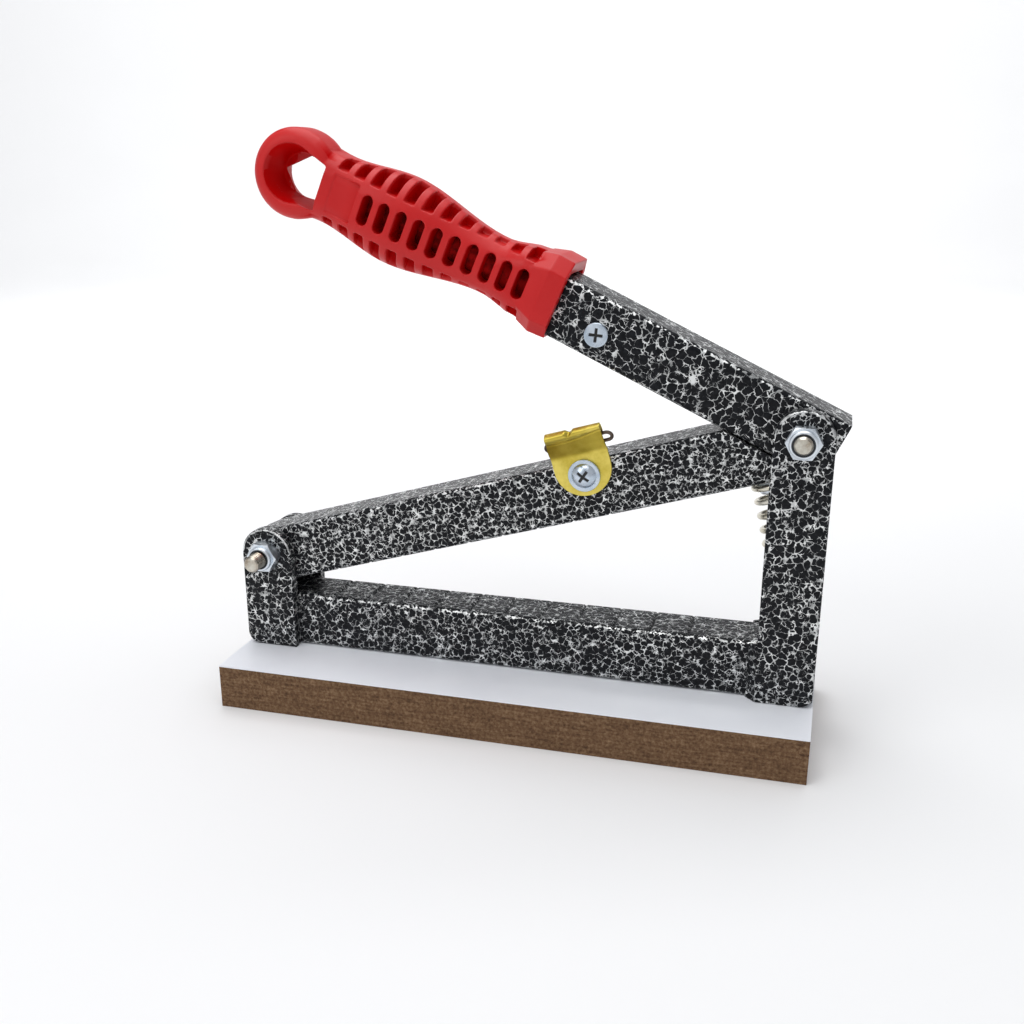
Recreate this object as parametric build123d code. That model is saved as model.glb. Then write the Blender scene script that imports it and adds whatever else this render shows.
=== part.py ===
from build123d import *
import os
from collections import namedtuple
from math import atan2, ceil, cos, degrees, pi, radians, sin, sqrt, tan

# Bench nutcracker: a jaw hinged on a base bar is pressed down by a long hand lever.
# X runs along the base bar with the hand grip towards -X, +Z is up and the front faces -Y.
# The origin is the middle of the board's underside. Lengths are in millimetres, angles in degrees.

# Board under the frame, faced with a thin white laminate
board_length = 207.0
board_depth = 72.0
board_core_thickness = 15.5
laminate_thickness = 0.5

# Welded frame: a square tube with two pairs of flat-bar posts
frame_length = 206.3
bar_size = 20.0
bar_wall = 2.0
bar_corner = 2.0
bar_inner_corner = 0.8
post_width = 19.3
post_thickness = 4.0
post_edge = 0.7
post_foot_radius = 4.5
back_head_drop = 1.9
jaw_pivot_height = 35.8
lever_pivot_height = 90.8
weld_leg = 3.2
side_play = 0.3

# Screws from below that hold the frame on the board
board_screw_spacing = 124.0
board_screw_diameter = 4.2
board_screw_head = 8.0
board_screw_recess = 0.5
board_screw_tip = 4.0
screw_play = 0.2

# Pivot bolts with self-locking nuts
bolt_diameter = 6.0
bolt_head_height = 4.0
bolt_flats = 10.0
bolt_end_chamfer = 0.7
jaw_bolt_length = 40.0
lever_bolt_length = 35.5
nut_hex_height = 4.4
nut_height = 6.2
nut_collar_diameter = 9.0
nut_collar_round = 0.7
nut_insert_diameter = 7.4
nut_insert_thickness = 1.4
nut_lip = 0.3
thread_play = 0.02
pivot_play = 0.08

# Jaw: a square tube that at rest points at the lever's pivot
jaw_drop = 2.2
jaw_tail = 9.0
jaw_tail_bevel = 9.0
lever_gap = 0.4
grip_notch_pitch = 13.0
grip_notch_width = 1.8
grip_notch_depth = 0.8
grip_notch_margin = 14.0

# Lever: a square tube with a tang welded into its end
lever_angle = 25.0
lever_tail = 10.7
lever_reach = 88.8
socket_depth = 7.5
tang_diameter = 11.0
tang_length = 65.5
tang_plug_length = 14.0
plug_play = 0.05

# Catch screw on the lever's front face
catch_distance = 73.4
catch_drop = 2.0
catch_head_diameter = 8.0
catch_head_height = 0.9
catch_head_round = 0.4
catch_turn = 20.0

# Latch clip, its screw and its wire ring on the jaw's front face
latch_distance = 72.0
clip_width = 19.8
clip_sheet = 0.7
clip_below_edge = 11.6
clip_bend_above_edge = 1.8
clip_bend_radius = 3.0
clip_lean = 33.0
clip_lean_length = 8.3
clip_hem_length = 3.0
clip_tab_width = 12.0
clip_tab_sweep = 75.0
latch_screw_below_edge = 4.5
latch_flange_diameter = 11.0
latch_flange_thickness = 0.9
latch_dome_diameter = 8.4
latch_dome_height = 2.0
latch_turn = 40.0
small_screw_diameter = 4.0
small_screw_length = 10.0
recess_span = 4.6
recess_width = 1.0
recess_depth = 0.8
ring_wire = 1.2
ring_play = 0.1
ring_length = 24.0
ring_height = 4.6
ring_shift = 1.4

# Return spring between the base bar and the jaw, on a peg at each end
spring_setback = 13.3
spring_wire = 2.0
spring_diameter = 15.5
spring_turns = 12.0
spring_start_turn = 0.5
spring_end_pitch = 2.6
spring_seat_gap = 0.1
peg_play = 0.5
peg_height = 5.0
peg_round = 1.0

# Moulded hand grip: length along its own axis, then height, depth, corner and rise at each station
grip_droop = 1.9
grip_rise = 1.5
grip_length = 112.8
mouth_height = 26.0
mouth_depth = 27.4
collar_station = 6.0
collar_height = 26.6
collar_depth = 28.0
collar_chamfer = 4.8
shoulder_station = 12.0
shoulder_height = 23.2
shoulder_depth = 24.2
shoulder_corner = 6.5
waist_station = 25.5
waist_height = 19.2
waist_depth = 20.4
waist_corner = 8.0
belly_station = 61.0
belly_height = 29.4
belly_depth = 27.0
belly_corner = 11.5
neck_station = 86.0
neck_height = 22.5
neck_depth = 22.4
neck_corner = 7.0
neck_rise = 0.1
ring_root_station = 97.0
ring_root_height = 24.6
ring_root_corner = 6.0
ring_root_rise = -0.3
eye_diameter = 29.2
eye_depth = 22.0
eye_edge = 4.6
eye_back_edge = 10.0
hang_hole_width = 14.4
hang_hole_length = 17.4
hang_hole_wall = 7.9
hang_hole_drop = 1.0
hole_rim_width = 19.2
hole_rim_wall = 4.8
hole_flare = 14.5
hole_flare_depth = 10.4
socket_play = 0.25
mouth_gap = 0.7
mouth_recess = 4.0
tang_play = 0.15
tang_end_room = 2.0
slice_pitch = 3.2

# Pockets, slots and panel of the grip
rib_pitch = 6.25
pocket_count = 12
pocket_first = 13.2
pocket_width = 3.7
rail_height = 16.0
spine_half = 5.5
top_spine_front = 1.0
least_flat = 0.7
side_slot_count = 10
side_slot_first = 13.5
side_slot_width = 3.9
side_slot_height = 10.0
side_slot_floor = 4.0
panel_start = 74.0
panel_length = 9.6
panel_height = 13.0
panel_depth = 0.7

# Places worked out from the sizes above
board_top = board_core_thickness + laminate_thickness
bar_top = board_top + bar_size
post_face = bar_size / 2 + post_thickness
moving_width = bar_size - 2 * side_play
pivot_inset = post_width / 2
jaw_pivot = Vector(-frame_length / 2 + pivot_inset, 0, board_top + jaw_pivot_height)
lever_pivot = Vector(frame_length / 2 - pivot_inset, 0, board_top + lever_pivot_height)
pivot_span = (lever_pivot - jaw_pivot).length
jaw_angle = degrees(atan2(lever_pivot.Z - jaw_pivot.Z, lever_pivot.X - jaw_pivot.X))
jaw_top = bar_size / 2 - jaw_drop
jaw_bottom = -bar_size / 2 - jaw_drop

# Frames that ride on the jaw and the lever: x along the bar, z square to it, y across
jaw_along = Vector(cos(radians(jaw_angle)), 0, sin(radians(jaw_angle)))
jaw_up = Vector(-sin(radians(jaw_angle)), 0, cos(radians(jaw_angle)))
jaw_frame = Plane(jaw_pivot, x_dir=jaw_along, z_dir=jaw_up)
lever_along = Vector(-cos(radians(lever_angle)), 0, sin(radians(lever_angle)))
lever_up = Vector(sin(radians(lever_angle)), 0, cos(radians(lever_angle)))
lever_frame = Plane(lever_pivot, x_dir=lever_along, z_dir=lever_up)

os.makedirs("parts", exist_ok=True)


def save(shape, node):
    """Write one named piece of the nutcracker."""
    shape.label = node
    export_step(shape, f"parts/{node}.step")


def block(x, y, z):
    """Box between the given pairs of limits."""
    size = (x[1] - x[0], y[1] - y[0], z[1] - z[0])
    centre = ((x[0] + x[1]) / 2, (y[0] + y[1]) / 2, (z[0] + z[1]) / 2)
    return Pos(*centre) * Box(*size)


def rod(start, direction, diameter, length):
    """Round bar from a point along a direction."""
    return extrude(Plane(start, z_dir=direction) * Circle(diameter / 2), amount=length)


def square_tube(start, end, width):
    """Square tube along X, with its middle line on the X axis."""
    outer = RectangleRounded(width, bar_size, bar_corner)
    inner = RectangleRounded(width - 2 * bar_wall, bar_size - 2 * bar_wall, bar_inner_corner)
    return Pos(start, 0, 0) * extrude(Plane.YZ * (outer - inner), amount=end - start)


def notch_row(start, end, height, width):
    """Row of shallow V notches across a bar, cut at the given height."""
    across = 2 * width
    half = grip_notch_width / 2
    count = int((end - start) // grip_notch_pitch) + 1
    vee = Polygon((-half, 0), (0, -grip_notch_depth), (half, 0), (0, grip_notch_depth), align=None)
    cutter = extrude(Plane.XZ * vee, amount=across / 2, both=True)
    return [Pos(start + i * grip_notch_pitch, 0, height) * cutter for i in range(count)]


def cross_recess(top, turn):
    """Cross-shaped driver recess cut down from the given height, turned about its axis."""
    slot = Box(recess_span, recess_width, 2 * recess_depth)
    return Pos(0, 0, top) * Rot(0, 0, turn) * (slot + Rot(0, 0, 90) * slot)


# Board: a fibreboard slab, its laminate and the two screws that come up through it
screw_places = [Pos(side * board_screw_spacing / 2, 0, 0) for side in (-1, 1)]
screw_hole = rod((0, 0, 0), (0, 0, 1), board_screw_diameter + 2 * screw_play, board_top)
sink_top = board_screw_recess + (board_screw_head - board_screw_diameter) / 2
sink = Cone(board_screw_head / 2 + screw_play, board_screw_diameter / 2 + screw_play,
            sink_top - board_screw_recess, align=(Align.CENTER, Align.CENTER, Align.MIN))
head_pocket = Pos(0, 0, board_screw_recess) * sink
head_pocket += rod((0, 0, 0), (0, 0, 1), board_screw_head + 2 * screw_play, board_screw_recess)
board_cut = [place * (screw_hole + head_pocket) for place in screw_places]
half_length = frame_length / 2
board_x = (-board_length / 2, board_length / 2)
board_y = (-board_depth / 2, board_depth / 2)
slab = block(board_x, board_y, (0, board_core_thickness))
save(slab - board_cut, "base_board")
skin = block(board_x, board_y, (board_core_thickness, board_top))
save(skin - board_cut, "board_laminate")

screw_head = Cone(board_screw_head / 2, board_screw_diameter / 2, sink_top - board_screw_recess,
                  align=(Align.CENTER, Align.CENTER, Align.MIN))
screw_end = board_top + bar_wall + board_screw_tip
board_screw = Pos(0, 0, board_screw_recess) * screw_head
board_screw += rod((0, 0, sink_top), (0, 0, 1), board_screw_diameter, screw_end - sink_top)
board_screw -= Pos(0, 0, board_screw_recess) * cross_recess(0, 0)
save(Compound(children=[place * board_screw for place in screw_places]), "board_screws")

# Base bar: the lower jaw, notched across its top and tapped for the two board screws
notch_start = jaw_pivot.X + pivot_inset + grip_notch_margin
notch_end = lever_pivot.X - pivot_inset - grip_notch_margin
base_bar = Pos(0, 0, board_top + bar_size / 2) * square_tube(-half_length, half_length, bar_size)
base_bar -= notch_row(notch_start, notch_end, bar_top, bar_size)
tapped = rod((0, 0, board_top - bar_wall), (0, 0, 1), board_screw_diameter + 2 * thread_play, 3 * bar_wall)
base_bar -= [place * tapped for place in screw_places]
save(base_bar, "base_bar")


def post(pivot, outward, head_drop):
    """Front flat-bar post with a round head round the pivot, or a little lower, and a rounded outer foot."""
    height = pivot.Z - board_top
    head = height - head_drop
    outline = Pos(0, head / 2) * Rectangle(post_width, head) + Pos(0, head) * Circle(post_width / 2)
    foot = outline.vertices().filter_by_position(Axis.Y, -0.01, 0.01).sort_by(Axis.X)
    outline = fillet(foot[-1] if outward > 0 else foot[0], post_foot_radius)
    plate = extrude(Plane.XZ.offset(bar_size / 2) * outline, amount=post_thickness)
    plate = fillet(plate.faces().sort_by(Axis.Y)[0].edges(), post_edge)
    hole = rod((0, 0, height), (0, -1, 0), bolt_diameter + 2 * pivot_play, 2 * post_face)
    return Pos(pivot.X, 0, board_top) * (plate - hole)


for side, pivot, outward in (("left", jaw_pivot, -1), ("right", lever_pivot, 1)):
    save(post(pivot, outward, 0), f"{side}_post_front")
    save(mirror(post(pivot, outward, back_head_drop), about=Plane.XZ), f"{side}_post_back")

# Welds: a fillet down the inner step of each right post, a bead along the bar's edge inside each left post
step_weld = extrude(Polygon((0, 0), (-weld_leg, 0), (0, -weld_leg), align=None), amount=bar_size)
step_weld = Pos(lever_pivot.X - post_width / 2, -bar_size / 2, board_top) * step_weld
bead_end = jaw_pivot.X + post_width / 2
inner_bead = rod((-half_length, -bar_size / 2, bar_top), (1, 0, 0), bar_corner, bead_end + half_length)
inner_bead &= block((-half_length, half_length), (-bar_size / 2, 0), (board_top, bar_top))
inner_bead -= base_bar
welds = [step_weld, mirror(step_weld, about=Plane.XZ), inner_bead, mirror(inner_bead, about=Plane.XZ)]
save(Compound(children=welds), "weld_beads")


def hexagon(height):
    """Hexagon head with its outer corners turned off, standing on z = 0 with corners along X."""
    corner = bolt_flats / sqrt(3)
    drop = (corner - bolt_flats / 2) * tan(radians(30))
    prism = extrude(RegularPolygon(bolt_flats / 2, 6, major_radius=False), amount=height)
    rim = [(corner, 0), (corner, height - drop), (bolt_flats / 2, height)]
    profile = Polygon((0, 0), *rim, (0, height), align=None)
    return prism & revolve(Plane.XZ * profile, Axis.Z)


def pivot_bolt(length):
    """Hexagon bolt whose shank runs up +Z from the underside of its head."""
    shank = rod((0, 0, 0), (0, 0, 1), bolt_diameter, length)
    shank = chamfer(shank.faces().sort_by(Axis.Z)[-1].edges(), bolt_end_chamfer)
    return Rot(180, 0, 0) * hexagon(bolt_head_height) + shank


def lock_nut():
    """Self-locking nut standing on z = 0, and the ring held in its collar."""
    collar = rod((0, 0, 0), (0, 0, 1), nut_collar_diameter, nut_height)
    collar = fillet(collar.faces().sort_by(Axis.Z)[-1].edges(), nut_collar_round)
    nut = hexagon(nut_hex_height) + collar
    nut -= rod((0, 0, 0), (0, 0, 1), bolt_diameter + 2 * thread_play, nut_height)
    ring_floor = nut_height - nut_lip - nut_insert_thickness
    nut -= rod((0, 0, ring_floor), (0, 0, 1), nut_insert_diameter, nut_height - ring_floor)
    ring = rod((0, 0, ring_floor), (0, 0, 1), nut_insert_diameter, nut_insert_thickness)
    ring -= rod((0, 0, ring_floor), (0, 0, 1), bolt_diameter + 2 * thread_play, nut_insert_thickness)
    return nut, ring


# Pivots: each bolt comes through from the back and takes its nut on the front post
for name, pivot, length in (("jaw", jaw_pivot, jaw_bolt_length), ("lever", lever_pivot, lever_bolt_length)):
    back_face = Plane((pivot.X, post_face, pivot.Z), x_dir=(1, 0, 0), z_dir=(0, -1, 0))
    front_face = Plane((pivot.X, -post_face, pivot.Z), x_dir=(1, 0, 0), z_dir=(0, -1, 0))
    nut, ring = lock_nut()
    save(back_face.location * pivot_bolt(length), f"{name}_pivot_bolt")
    save(front_face.location * nut, f"{name}_pivot_nut")
    save(front_face.location * ring, f"{name}_nut_insert")

pivot_hole = rod((0, -bar_size, 0), (0, 1, 0), bolt_diameter + 2 * pivot_play, 2 * bar_size)


def small_screw_hole(x, z, front):
    """Tapped hole through a bar's front wall, where front is the bar's own y of its front face."""
    inward = Vector(0, -1 if front > 0 else 1, 0)
    start = Vector(x, front, z) - inward * bar_wall
    return rod(start, inward, small_screw_diameter + 2 * thread_play, 3 * bar_wall)


# Jaw bar: bevelled at its tail, cut along the lever's underside at its nose, notched below
latch_along = pivot_span - latch_distance
latch_height = jaw_top - latch_screw_below_edge
nose = pivot_span + bar_size
jaw = Pos(0, 0, -jaw_drop) * square_tube(-jaw_tail, nose, moving_width)
tail_cut = block((-2 * nose, 0), (-bar_size, bar_size), (0, bar_size))
jaw -= Pos(0, 0, jaw_top) * Rot(0, -jaw_tail_bevel, 0) * tail_cut
jaw -= pivot_hole
jaw -= notch_row(pivot_inset + grip_notch_margin, latch_along + grip_notch_margin, jaw_bottom, bar_size)
jaw -= small_screw_hole(latch_along, latch_height, -moving_width / 2)
jaw = jaw_frame.location * jaw
swept = block((-nose, nose), (-bar_size, bar_size), (-bar_size / 2 - lever_gap, nose))
jaw -= lever_frame.location * swept
save(jaw, "jaw_bar")

# Lever bar: a square-cut tube from behind its pivot into the mouth of the hand grip
tube_end = lever_reach + socket_depth
lever = square_tube(-lever_tail, tube_end, moving_width)
lever -= pivot_hole
lever -= small_screw_hole(catch_distance, -catch_drop, moving_width / 2)
save(lever_frame.location * lever, "lever_bar")

# Tang: a plug welded into the tube's end that carries a round rod up into the grip
plug_width = moving_width - 2 * (bar_wall + plug_play)
plug_height = bar_size - 2 * (bar_wall + plug_play)
plug = Plane.YZ * RectangleRounded(plug_width, plug_height, bar_inner_corner)
tang = Pos(tube_end - tang_plug_length, 0, 0) * extrude(plug, amount=tang_plug_length)
tang += rod((tube_end, 0, 0), (1, 0, 0), tang_diameter, tang_length)
save(lever_frame.location * tang, "handle_tang")

# Catch screw: a flat-headed screw on the lever that the latch clip meets when closed
catch_head = rod((0, 0, 0), (0, 0, 1), catch_head_diameter, catch_head_height)
catch_head = fillet(catch_head.faces().sort_by(Axis.Z)[-1].edges(), catch_head_round)
catch = catch_head - cross_recess(catch_head_height, catch_turn)
catch += rod((0, 0, 0), (0, 0, -1), small_screw_diameter, small_screw_length)
catch_face = Plane((catch_distance, moving_width / 2, -catch_drop), x_dir=(-1, 0, 0), z_dir=(0, 1, 0))
save(lever_frame.location * catch_face.location * catch, "lever_screw")

# Latch clip: a strip screwed to the jaw, leaning forward above it and folded back at the top,
# with a tab at the end of the fold that closes under the ring's wire
strip_face = -moving_width / 2 - clip_sheet / 2
fold_radius = ring_wire / 2 + ring_play + clip_sheet / 2
foot = Line((strip_face, jaw_top - clip_below_edge), (strip_face, jaw_top + clip_bend_above_edge))
bend = JernArc(foot @ 1, foot % 1, clip_bend_radius, clip_lean)
lean = Line(bend @ 1, bend @ 1 + (bend % 1) * clip_lean_length)
fold = JernArc(lean @ 1, lean % 1, fold_radius, -180)
hem = Line(fold @ 1, fold @ 1 + (fold % 1) * clip_hem_length)
tab = JernArc(hem @ 1, hem % 1, fold_radius, -clip_tab_sweep)
strip_profile = Plane.YZ * trace(foot + bend + lean + fold + hem, clip_sheet)
strip = extrude(strip_profile, amount=clip_width / 2, both=True)
round_foot = Pos(0, clip_width / 2) * Circle(clip_width / 2)
round_foot += Pos(0, clip_width) * Rectangle(clip_width, clip_width)
round_foot += Pos(0, 2 * clip_width) * Rectangle(clip_width, clip_width)
foot_plane = Plane.XZ.offset(-bar_size) * Pos(0, jaw_top - clip_below_edge)
strip &= extrude(foot_plane * round_foot, amount=3 * bar_size)
strip += extrude(Plane.YZ * trace(tab, clip_sheet), amount=clip_tab_width / 2, both=True)
strip -= rod((0, -bar_size, latch_height), (0, 1, 0), small_screw_diameter + 2 * screw_play, bar_size)
latch_place = jaw_frame.location * Pos(latch_along, 0, 0)
save(latch_place * strip, "latch_clip")

# Latch screw: a domed screw with a broad flange that clamps the clip
dome_radius = (latch_dome_diameter ** 2 / 4 + latch_dome_height ** 2) / (2 * latch_dome_height)
dome = Pos(0, 0, latch_flange_thickness + latch_dome_height - dome_radius) * Sphere(dome_radius)
dome_top = latch_flange_thickness + latch_dome_height
dome &= rod((0, 0, latch_flange_thickness), (0, 0, 1), latch_flange_diameter, latch_dome_height)
flange = rod((0, 0, 0), (0, 0, 1), latch_flange_diameter, latch_flange_thickness)
flange = fillet(flange.faces().sort_by(Axis.Z)[-1].edges(), latch_flange_thickness / 3)
latch_screw = flange + dome - cross_recess(dome_top, latch_turn)
latch_screw += rod((0, 0, 0), (0, 0, -1), small_screw_diameter, small_screw_length)
clip_face = Plane((0, -moving_width / 2 - clip_sheet, latch_height), x_dir=(1, 0, 0), z_dir=(0, -1, 0))
save(latch_place * clip_face.location * latch_screw, "latch_screw")

# Latch ring: a flat oval of wire that hangs in the fold, level with the leaning strip
lean_turn = lean % 1
ring_axis = hem @ 1 - Vector(lean_turn.Y, -lean_turn.X, 0) * fold_radius
ring_rise = ring_height - ring_wire
ring_straight = ring_length - ring_height
wire_disc = Pos(0, ring_rise / 2) * Circle(ring_wire / 2)
ring_end = revolve(Plane.YZ * wire_disc, Axis.Y, 180)
end_plus = Pos(ring_straight / 2, 0, 0) * ring_end
end_minus = mirror(end_plus, about=Plane.YZ)
upper_bar = rod((-ring_straight / 2, 0, ring_rise / 2), (1, 0, 0), ring_wire, ring_straight)
lower_bar = mirror(upper_bar, about=Plane.XY)
ring = Pos(0, 0, -ring_rise / 2) * (upper_bar + lower_bar + end_plus + end_minus)
ring_point = (ring_shift, ring_axis.X, ring_axis.Y)
ring_place = Plane(ring_point, x_dir=(1, 0, 0), z_dir=(0, lean_turn.X, lean_turn.Y))
save(latch_place * ring_place.location * ring, "latch_ring")

# Spring pegs: short studs that keep the ends of the return spring in place
peg_diameter = spring_diameter - 2 * spring_wire - 2 * peg_play
peg = rod((0, 0, 0), (0, 0, 1), peg_diameter, peg_height)
peg = fillet(peg.faces().sort_by(Axis.Z)[-1].edges(), peg_round)
base_seat = Vector(lever_pivot.X, 0, bar_top)
jaw_seat = jaw_frame.from_local_coords(Vector(pivot_span - spring_setback, 0, jaw_bottom))
save(Pos(*base_seat) * peg, "base_spring_peg")
save(Plane(jaw_seat, x_dir=jaw_along, z_dir=-jaw_up).location * peg, "jaw_spring_peg")

# Return spring: an open coil whose middle line leaves each seat square to it
coil_radius = (spring_diameter - spring_wire) / 2
seat_lift = spring_wire / 2 + spring_seat_gap
coil_start = base_seat + Vector(0, 0, seat_lift)
coil_end = jaw_seat - jaw_up * seat_lift
pull = (coil_end - coil_start).length / 3
bend_points = [coil_start, coil_start + Vector(0, 0, pull), coil_end - jaw_up * pull, coil_end]


def middle_line(t):
    """Point and direction of the spring's middle line, with t from 0 at the base to 1 at the jaw."""
    a, b, c, d = bend_points
    s = 1 - t
    point = a * s ** 3 + b * (3 * s * s * t) + c * (3 * s * t * t) + d * t ** 3
    slope = (b - a) * (3 * s * s) + (c - b) * (6 * s * t) + (d - c) * (3 * t * t)
    return point, slope.normalized()


def coil_rise(turn):
    """Share of the middle line reached after so many turns: close at both ends, open between."""
    closed = spring_end_pitch / (coil_end - coil_start).length
    if turn <= 1:
        return closed * turn
    if turn >= spring_turns - 1:
        return 1 - closed * (spring_turns - turn)
    return closed + (1 - 2 * closed) * (turn - 1) / (spring_turns - 2)


def coil_point(turn):
    """Point on the wire's centre after so many turns."""
    point, direction = middle_line(min(max(coil_rise(turn), 0), 1))
    side = Vector(0, 1, 0).cross(direction)
    angle = 2 * pi * (turn + spring_start_turn)
    return point + side * (coil_radius * cos(angle)) + Vector(0, 1, 0) * (coil_radius * sin(angle))


def coil_direction(turn):
    """Direction of the wire after so many turns."""
    step = 0.01
    low = max(turn - step, 0)
    high = min(turn + step, spring_turns)
    return (coil_point(high) - coil_point(low)).normalized()


def biarc(p0, t0, p1, t1):
    """Two tangent arcs from p0 to p1 that leave along t0 and arrive along t1."""
    gap = p1 - p0
    total = t0 + t1
    a = 2 * (1 - t0.dot(t1))
    b = 2 * gap.dot(total)
    c = -gap.dot(gap)
    reach = -c / b if a < 1e-9 else (-b + sqrt(b * b - 4 * a * c)) / (2 * a)
    q0 = p0 + t0 * reach
    q1 = p1 - t1 * reach
    joint = (q0 + q1) / 2
    return [TangentArc(p0, joint, tangent=t0), TangentArc(joint, p1, tangent=(q1 - q0).normalized())]


arc_count = ceil(4 * spring_turns)
arc_turn = spring_turns / arc_count
arcs = []
for i in range(arc_count):
    now, then = i * arc_turn, (i + 1) * arc_turn
    arcs += biarc(coil_point(now), coil_direction(now), coil_point(then), coil_direction(then))
coil = Wire(arcs)
spring = sweep(Plane(coil @ 0, z_dir=coil % 0) * Circle(spring_wire / 2), path=coil)
save(spring, "return_spring")

points_per_turn = 48
wire_points = [coil_point(i / points_per_turn) for i in range(int(points_per_turn * spring_turns) + 1)]
least_gap = min((wire_points[i] - wire_points[j]).length - spring_wire
                for i in range(len(wire_points))
                for j in range(i + points_per_turn // 2, min(i + 2 * points_per_turn, len(wire_points))))
print(f"return_spring: least gap between turns {least_gap:.2f} mm, length of wire {coil.length:.1f} mm")

# Hand grip: its stations from the shoulder behind the collar to the root of the eye
Station = namedtuple("Station", "along height depth corner rise")
stations = [
    Station(shoulder_station, shoulder_height, shoulder_depth, shoulder_corner, 0.0),
    Station(waist_station, waist_height, waist_depth, waist_corner, 0.0),
    Station(belly_station, belly_height, belly_depth, belly_corner, 0.0),
    Station(neck_station, neck_height, neck_depth, neck_corner, neck_rise),
    Station(ring_root_station, ring_root_height, eye_depth, ring_root_corner, ring_root_rise),
]


def station_slope(i, size):
    """Slope of a size at a station: level at the ends and wherever the size turns round."""
    if i in (0, len(stations) - 1):
        return 0.0
    before, here, after = stations[i - 1:i + 2]
    slope_in = (getattr(here, size) - getattr(before, size)) / (here.along - before.along)
    slope_out = (getattr(after, size) - getattr(here, size)) / (after.along - here.along)
    return 2 * slope_in * slope_out / (slope_in + slope_out) if slope_in * slope_out > 0 else 0.0


def grip_size(along, size):
    """Height, depth, corner or rise of the grip at a place along it, flowing from station to station."""
    along = min(max(along, stations[0].along), stations[-1].along)
    i = max(k for k in range(len(stations) - 1) if stations[k].along <= along)
    low, high = stations[i], stations[i + 1]
    span = high.along - low.along
    t = (along - low.along) / span
    level = getattr(low, size) * (1 + 2 * t) * (1 - t) ** 2 + getattr(high, size) * t * t * (3 - 2 * t)
    bend = station_slope(i, size) * t * (1 - t) ** 2 - station_slope(i + 1, size) * t * t * (1 - t)
    return level + span * bend


def grip_outline(along, shrink=0.0):
    """Cross-section of the grip at a place along it, drawn in all round by the given amount."""
    depth = grip_size(along, "depth") - 2 * shrink
    height = grip_size(along, "height") - 2 * shrink
    widest_corner = min(depth, height) / 2 - least_flat
    corner = min(max(grip_size(along, "corner") - shrink, least_flat), widest_corner)
    return Pos(0, grip_size(along, "rise")) * RectangleRounded(depth, height, corner)


def across_grip(along):
    """Plane square to the grip's axis."""
    return Plane((along, 0, 0), x_dir=(0, 1, 0), z_dir=(1, 0, 0))


def octagon(height, depth):
    """Eight-sided outline of the collar."""
    return chamfer(Rectangle(depth, height).vertices(), collar_chamfer)


# Grip body: an eight-sided collar, a waisted body in thin slices and the round eye at its far end
collar_sections = [(0, mouth_height, mouth_depth), (collar_station, collar_height, collar_depth)]
collar_sections.append((shoulder_station, shoulder_height, shoulder_depth))
collar = loft([across_grip(at) * octagon(height, depth) for at, height, depth in collar_sections], ruled=True)
slice_count = ceil((ring_root_station - shoulder_station) / slice_pitch)
slice_step = (ring_root_station - shoulder_station) / slice_count
slices = [shoulder_station + k * slice_step for k in range(slice_count + 1)]
grip = loft([across_grip(at) * grip_outline(at) for at in slices], ruled=True) + collar
eye_centre = grip_length - eye_diameter / 2
eye = rod((eye_centre, -eye_depth / 2, 0), (0, 1, 0), eye_diameter, eye_depth)
eye = fillet(eye.edges().filter_by(GeomType.CIRCLE).sort_by(Axis.Y)[-1], eye_edge)
eye = fillet(eye.edges().filter_by(GeomType.CIRCLE).sort_by(Axis.Y)[0], eye_back_edge)
grip += eye

# Pockets above and below a rail on each side, let in as far as a spine along the top and the bottom.
# The lever's own Y axis points to the front.
pockets = []
for i in range(pocket_count):
    along = pocket_first + i * rib_pitch
    across = (along - pocket_width / 2, along + pocket_width / 2)
    above, below = (rail_height / 2, collar_height), (-collar_height, -rail_height / 2)
    pockets.append(block(across, (-collar_depth, -spine_half), above))
    pockets.append(block(across, (top_spine_front, collar_depth), above))
    pockets.append(block(across, (-collar_depth, -spine_half), below))
    pockets.append(block(across, (spine_half, collar_depth), below))
grip -= pockets

# Rounded slots in the front and the back, and a bare sunk panel beside the eye
slot_shape = SlotOverall(side_slot_height, side_slot_width, rotation=90)
slots = []
for i in range(side_slot_count):
    along = side_slot_first + i * rib_pitch
    slot = extrude(Plane.XZ.offset(side_slot_floor) * Pos(along, 0) * slot_shape, amount=collar_depth)
    slots += [slot, mirror(slot, about=Plane.XZ)]
grip -= slots
panel_middle = panel_start + panel_length / 2
panel = Pos(belly_depth / 2, 0) * Rectangle(belly_depth, panel_height)
panel -= grip_outline(panel_middle, panel_depth)
grip -= extrude(across_grip(panel_start) * panel, amount=panel_length)

# Hanging hole: five-sided through the eye, pointed at the far end, and flared to a round rim on both faces
hole_point = grip_length - hang_hole_wall
hole_flat = hole_point - hang_hole_length
hole_half = hang_hole_width / 2
hole = Polygon((hole_flat, hole_half), (hole_flat, -hole_half), (hole_point - hole_half, -hole_half),
               (hole_point, 0), (hole_point - hole_half, hole_half), align=None)
grip -= Pos(0, 0, -hang_hole_drop) * extrude(Plane.XZ * hole, amount=eye_depth, both=True)
rim_half = hole_rim_width / 2
rim_middle = grip_length - hole_rim_wall - rim_half
rim = Polygon((hole_flat, hole_half), (hole_flat, -hole_half), (rim_middle, -rim_half),
              (rim_middle, rim_half), align=None)
rim += Pos(rim_middle, 0) * Circle(rim_half)
shrink = hole_flare_depth * tan(radians(hole_flare))
rim_face = Plane.XZ.offset(eye_depth / 2) * rim
flare_floor = Plane.XZ.offset(eye_depth / 2 - hole_flare_depth) * offset(rim, -shrink)
flare = loft([rim_face, flare_floor]) + extrude(rim_face, amount=eye_depth)
grip -= [flare, mirror(flare, about=Plane.XZ)]

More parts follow.
